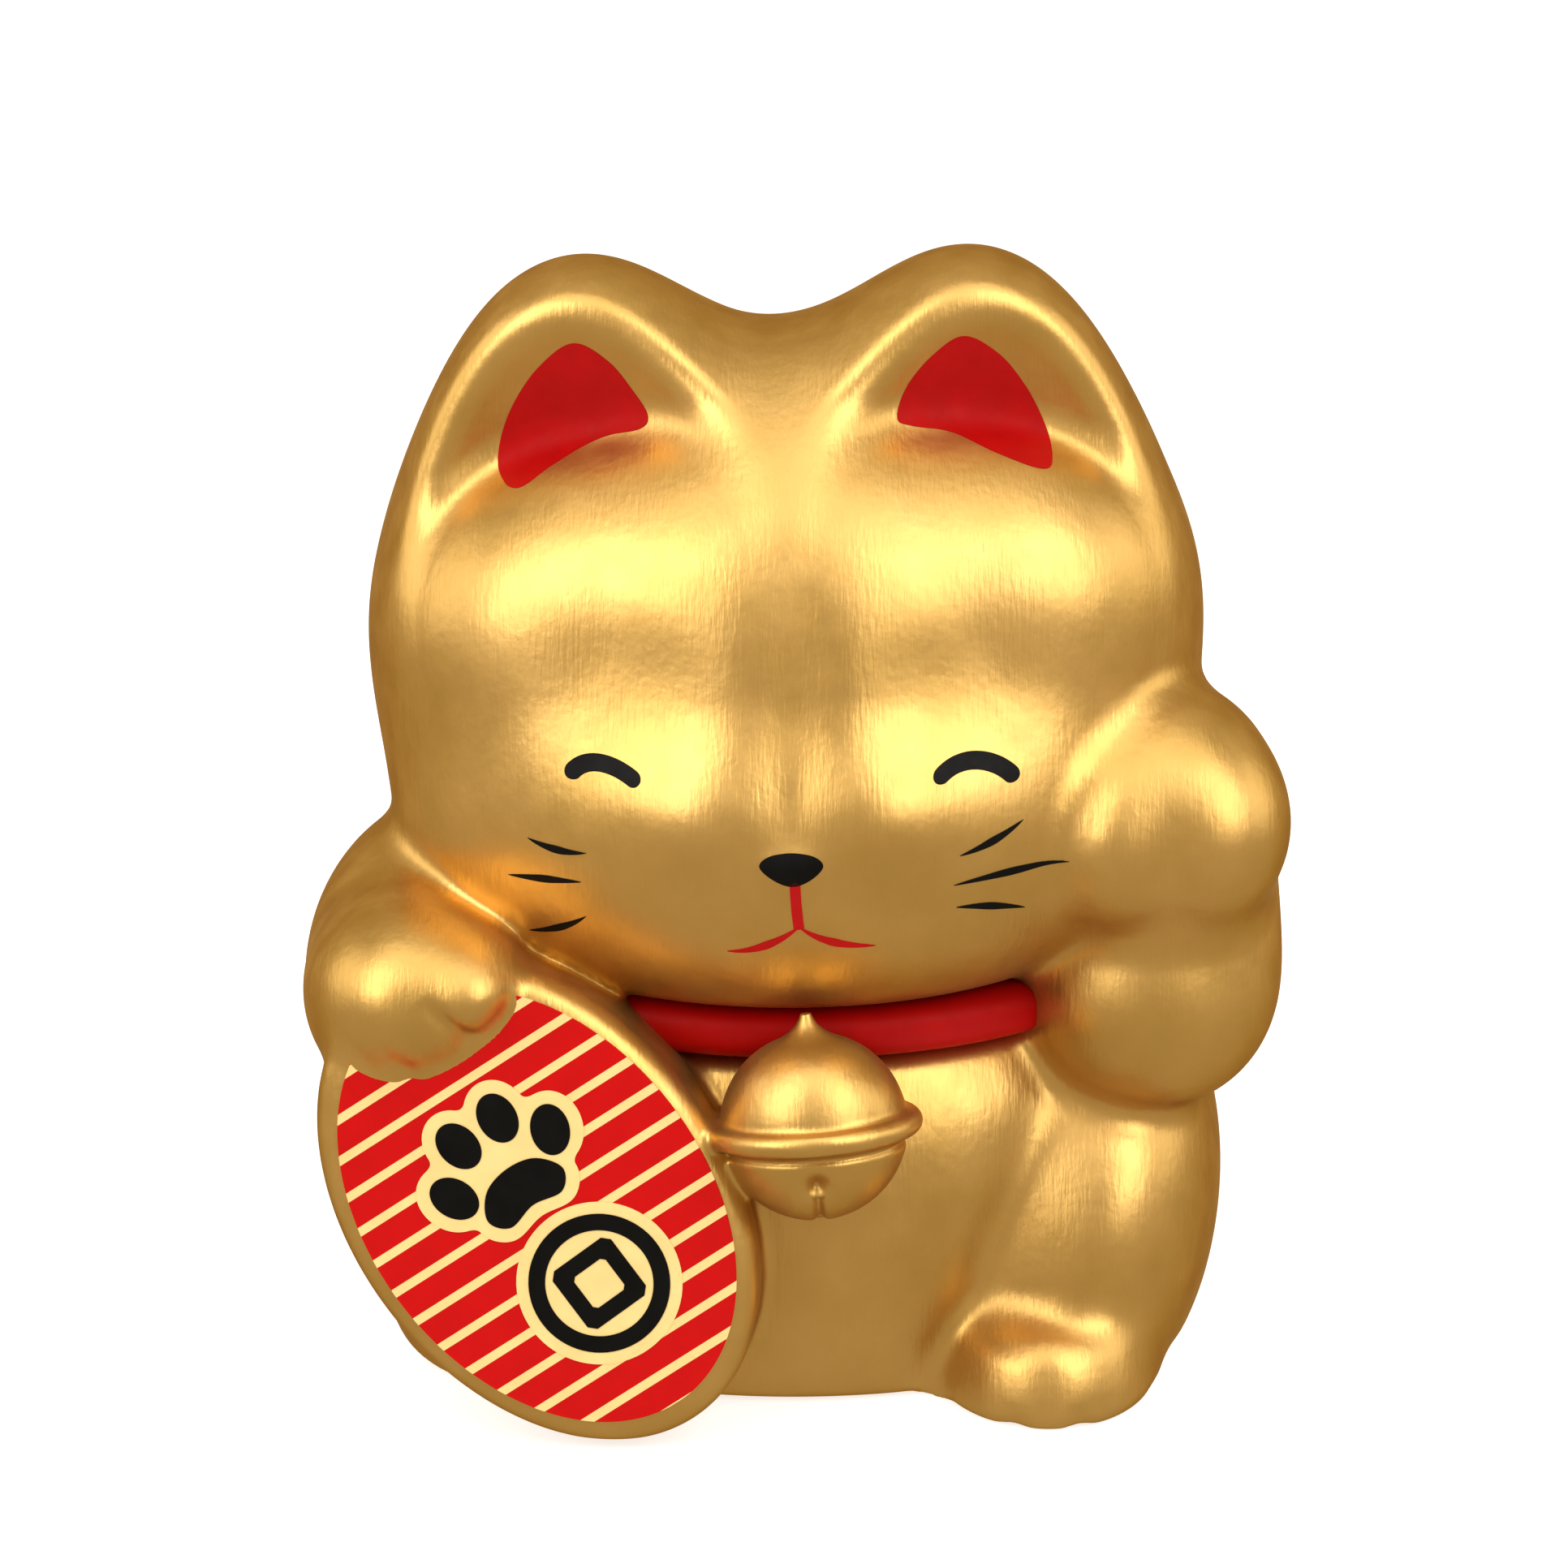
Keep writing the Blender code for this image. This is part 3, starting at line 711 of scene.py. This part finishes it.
def stripe_edges(reach):
    """Distances along the label at which it changes between red and cream."""
    count = int(reach // STRIPE_SPACING) + 1
    middles = [k * STRIPE_SPACING + STRIPE_START for k in range(-count, count + 1)]
    edges = [middle + half for middle in middles for half in (-STRIPE_WIDTH / 2, STRIPE_WIDTH / 2)]
    return [edge for edge in edges if abs(edge) < reach - 0.4]


def label_rows():
    """Rows of points across the oval, along the stripes, with a row on every edge of a stripe."""
    short, long = LABEL_RADII
    c, d = math.cos(STRIPE_TILT), math.sin(STRIPE_TILT)
    square = (c / short) ** 2 + (d / long) ** 2
    mixed = c * d * (1 / long ** 2 - 1 / short ** 2)
    reach = math.sqrt(square) * short * long - 0.02
    even = reach * np.sin(np.linspace(-1, 1, 121) * math.pi / 2)
    rows = []
    for level in np.unique(np.concatenate([stripe_edges(reach), even])):
        left_over = (mixed * level) ** 2 - square * (level ** 2 * ((d / short) ** 2 + (c / long) ** 2) - 1)
        half = math.sqrt(max(left_over, 1e-9)) / square
        across = -mixed * level / square + half * np.linspace(-1, 1, 41)
        rows.append(np.column_stack([c * across - d * level, d * across + c * level]))
    return rows


def make_label():
    """The oval print, red with cream stripes across it."""
    label = film("label_stripes", label_rows(), on_plaque, LABEL_RED, LABEL_LIFT, FILM_DEPTH,
                 stands_for=["koban_label"])
    label.data.materials.append(CREAM)
    axes = koban_axes()
    c, d = math.cos(STRIPE_TILT), math.sin(STRIPE_TILT)
    for polygon in label.data.polygons:
        middle = ((np.array(polygon.center) - ORIGIN) / MM - KOBAN_MIDDLE) @ axes
        along = c * middle[1] - d * (middle[0] - LABEL_SHIFT) - STRIPE_START
        nearest = round(along / STRIPE_SPACING) * STRIPE_SPACING
        polygon.material_index = int(abs(along - nearest) < STRIPE_WIDTH / 2)


def oval(x, y, across, along, turn=0.0, count=72):
    angle = np.linspace(0, 2 * math.pi, count, endpoint=False)
    flat = np.column_stack([across * np.cos(angle), along * np.sin(angle)])
    tilt = math.radians(turn)
    return flat @ np.array([[math.cos(tilt), math.sin(tilt)], [-math.sin(tilt), math.cos(tilt)]]) + (x, y)


def wrapped(outlines, middle, margin, count=180):
    """An outline that follows several outlines round their common middle, a margin outside them."""
    angles = np.linspace(0, 2 * math.pi, count, endpoint=False)
    points = np.concatenate(outlines) - middle
    bearing = np.arctan2(points[:, 1], points[:, 0])
    reach = np.linalg.norm(points, axis=1)
    radii = []
    for angle in angles:
        apart = np.abs((bearing - angle + math.pi) % (2 * math.pi) - math.pi)
        radii.append((reach - (apart / 0.30) ** 2 * 3.0).max() + margin)
    radii = np.array(radii)
    radii = (np.roll(radii, 2) + np.roll(radii, 1) + radii + np.roll(radii, -1) + np.roll(radii, -2)) / 5
    return np.array(middle) + radii[:, None] * np.column_stack([np.cos(angles), np.sin(angles)])


def printed(name, rows, material, level):
    """One layer of the print, lying on the layer below it."""
    lift = LABEL_LIFT + level * PRINT_STEP
    film(name, rows, on_plaque, material, lift, -(lift - PRINT_STEP), closed=True)


def make_pictograms():
    """Two plain pictures in black with cream edges: a paw mark above and an old square-holed coin below."""
    paw_middle, coin_middle = np.array([-0.2, 6.0]), np.array([0.4, -10.6])
    pads = [rounded(paw_middle + np.array([(0, -0.8), (3.2, -1.6), (5.0, -4.2), (3.4, -6.2), (0, -5.6),
                                           (-3.4, -6.2), (-5.0, -4.2), (-3.2, -1.6)]), 72)]
    for x, y, turn in ((-6.4, -0.1, 24), (-2.6, 4.2, 8), (2.6, 4.2, -8), (6.4, -0.1, -24)):
        pads.append(oval(*(paw_middle + (x, y)), 2.1, 2.8, turn))
    printed("paw_mark_edge", filled(wrapped(pads, paw_middle + (0, -1), 1.5)), CREAM, 1)
    for number, pad in enumerate(pads):
        printed(f"paw_mark_{number}", filled(pad), BLACK, 2)

    printed("coin_mark_edge", filled(oval(*coin_middle, 8.9, 8.9)), CREAM, 1)
    printed("coin_mark_ring", [oval(*coin_middle, r, r) for r in (7.6, 6.7, 5.8)], BLACK, 2)
    corners = np.array([(1, 0.8), (0.8, 1), (-0.8, 1), (-1, 0.8),
                        (-1, -0.8), (-0.8, -1), (0.8, -1), (1, -0.8)])
    printed("coin_mark_square", [coin_middle + corners * half for half in (3.9, 3.0, 2.1)], BLACK, 2)


make_label()
make_pictograms()


# Stopper ----------------------------------------------------------------------------------------------------

def turned(profile, count=96):
    """Points and faces of a ring turned about Z from (radius, height) pairs; the last joins the first."""
    angle = np.linspace(0, 2 * math.pi, count, endpoint=False)
    rings = [np.column_stack([r * np.cos(angle), r * np.sin(angle), np.full(count, z)]) for r, z in profile]
    points = np.concatenate(rings)
    number = np.arange(len(points)).reshape(len(profile), count)
    right, below = np.roll(number, -1, 1), np.roll(number, -1, 0)
    return points, np.stack([number, right, np.roll(right, -1, 0), below], -1).reshape(-1, 4)


AXIS = 0.05                   # radius at which the plug's profile stops short of its axis
GRIP_LENGTH = 20.4
GRIP_HALF = 1.5
GRIP_HEIGHTS = (0.95, 7.0)


def make_stopper():
    """A tapered plug with a flange, a dish in its underside and a grip bar across the dish."""
    profile = [
        (AXIS, 12.0), (11.4, 12.0), (12.3, 11.7), (12.8, 11.0), (13.7, 3.1), (13.7, 2.7), (17.2, 2.7),
        (17.5, 2.4), (17.5, 1.2), (17.2, 0.9), (10.9, 0.9), (10.5, 1.3), (10.1, 6.5), (9.7, 6.9), (AXIS, 6.9),
    ]
    points, faces = turned(profile)
    stopper = new_piece("stopper_plug", points, faces, PLASTIC, body="stopper",
                        stands_for=["stopper"])
    stopper.data.set_sharp_from_angle(angle=math.radians(35))
    make_grip()


def make_grip():
    outline = ((-1, -1), (1, -1), (1, 1), (-1, 1))
    corners = [(x * GRIP_LENGTH / 2, y * GRIP_HALF, z) for z in GRIP_HEIGHTS for x, y in outline]
    faces = [(3, 2, 1, 0), (4, 5, 6, 7), (0, 1, 5, 4), (1, 2, 6, 5), (2, 3, 7, 6), (3, 0, 4, 7)]
    grip = new_piece("stopper_grip", np.array(corners), np.array(faces), PLASTIC, body="stopper")
    bevel = grip.modifiers.new("Bevel", "BEVEL")
    bevel.width = 0.5 * MM
    bevel.segments = 3
    grip.data.set_sharp_from_angle(angle=math.radians(35))


make_stopper()


# Studio -----------------------------------------------------------------------------------------------------

def make_floor():
    """A wide white floor. It is left out of reflections, so the gold mirrors the warm, dim surroundings."""
    size = 8.0      # metres each way from the middle
    mesh = bpy.data.meshes.new("floor")
    corners = [(-size, -size, 0), (size, -size, 0), (size, size, 0), (-size, size, 0)]
    mesh.from_pydata(corners, [], [(0, 1, 2, 3)])
    floor = bpy.data.objects.new("floor", mesh)
    bpy.context.scene.collection.objects.link(floor)
    white = Finish("floor_white", (0.6, 0.6, 0.6), 0.9)
    white.shader.inputs["Emission Color"].default_value = (1, 1, 1, 1)
    white.shader.inputs["Emission Strength"].default_value = 0.72
    mesh.materials.append(white.material)
    floor.visible_glossy = False


def softbox(name, azimuth, elevation, distance, size, power):
    """A rectangular light facing the cat; azimuth 0 is the viewer's side and grows to the right."""
    a, e = math.radians(azimuth), math.radians(elevation)
    way = Vector((math.sin(a) * math.cos(e), -math.cos(a) * math.cos(e), math.sin(e)))
    light = bpy.data.lights.new(name, "AREA")
    light.shape = "RECTANGLE"
    light.size, light.size_y = size
    light.energy = power
    lamp = bpy.data.objects.new(name, light)
    bpy.context.scene.collection.objects.link(lamp)
    lamp.location = Vector((ORIGIN[0], ORIGIN[1], 0.06)) + way * distance
    lamp.rotation_euler = (-way).to_track_quat("-Z", "Y").to_euler()


def light_studio():
    """Five softboxes (azimuth, elevation, distance, size, watts) in a dim, warm surrounding."""
    lights = {
        "key_left": (-50, 40, 0.9, (0.6, 0.75), 4.5),
        "key_right": (50, 40, 0.9, (0.6, 0.75), 4.2),
        "side_left": (-100, 22, 1.1, (0.7, 0.7), 2.0),
        "side_right": (100, 22, 1.1, (0.7, 0.7), 1.8),
        "top": (0, 82, 0.9, (0.9, 0.6), 2.4),
    }
    for name, settings in lights.items():
        softbox(name, *settings)
    world = bpy.data.worlds.new("studio")
    bpy.context.scene.world = world
    world.use_nodes = True
    background = world.node_tree.nodes["Background"]
    background.inputs["Color"].default_value = (1, 0.82, 0.55, 1)
    background.inputs["Strength"].default_value = 0.48


def place_camera():
    """From straight in front, looking down a little, from 0.64 m; width is the frame's at the target."""
    elevation, distance, width = math.radians(16.5), 0.640, 0.1777
    target = Vector((ORIGIN[0], ORIGIN[1], 0.0596))
    back = Vector((0, -math.cos(elevation), math.sin(elevation)))
    data = bpy.data.cameras.new("camera")
    data.sensor_width = 36.0
    data.lens = data.sensor_width * distance / width
    camera = bpy.data.objects.new("camera", data)
    bpy.context.scene.collection.objects.link(camera)
    camera.location = target + back * distance
    camera.rotation_euler = (-back).to_track_quat("-Z", "Y").to_euler()
    bpy.context.scene.camera = camera


make_floor()
light_studio()
place_camera()
bpy.context.scene.view_settings.view_transform = "Standard"
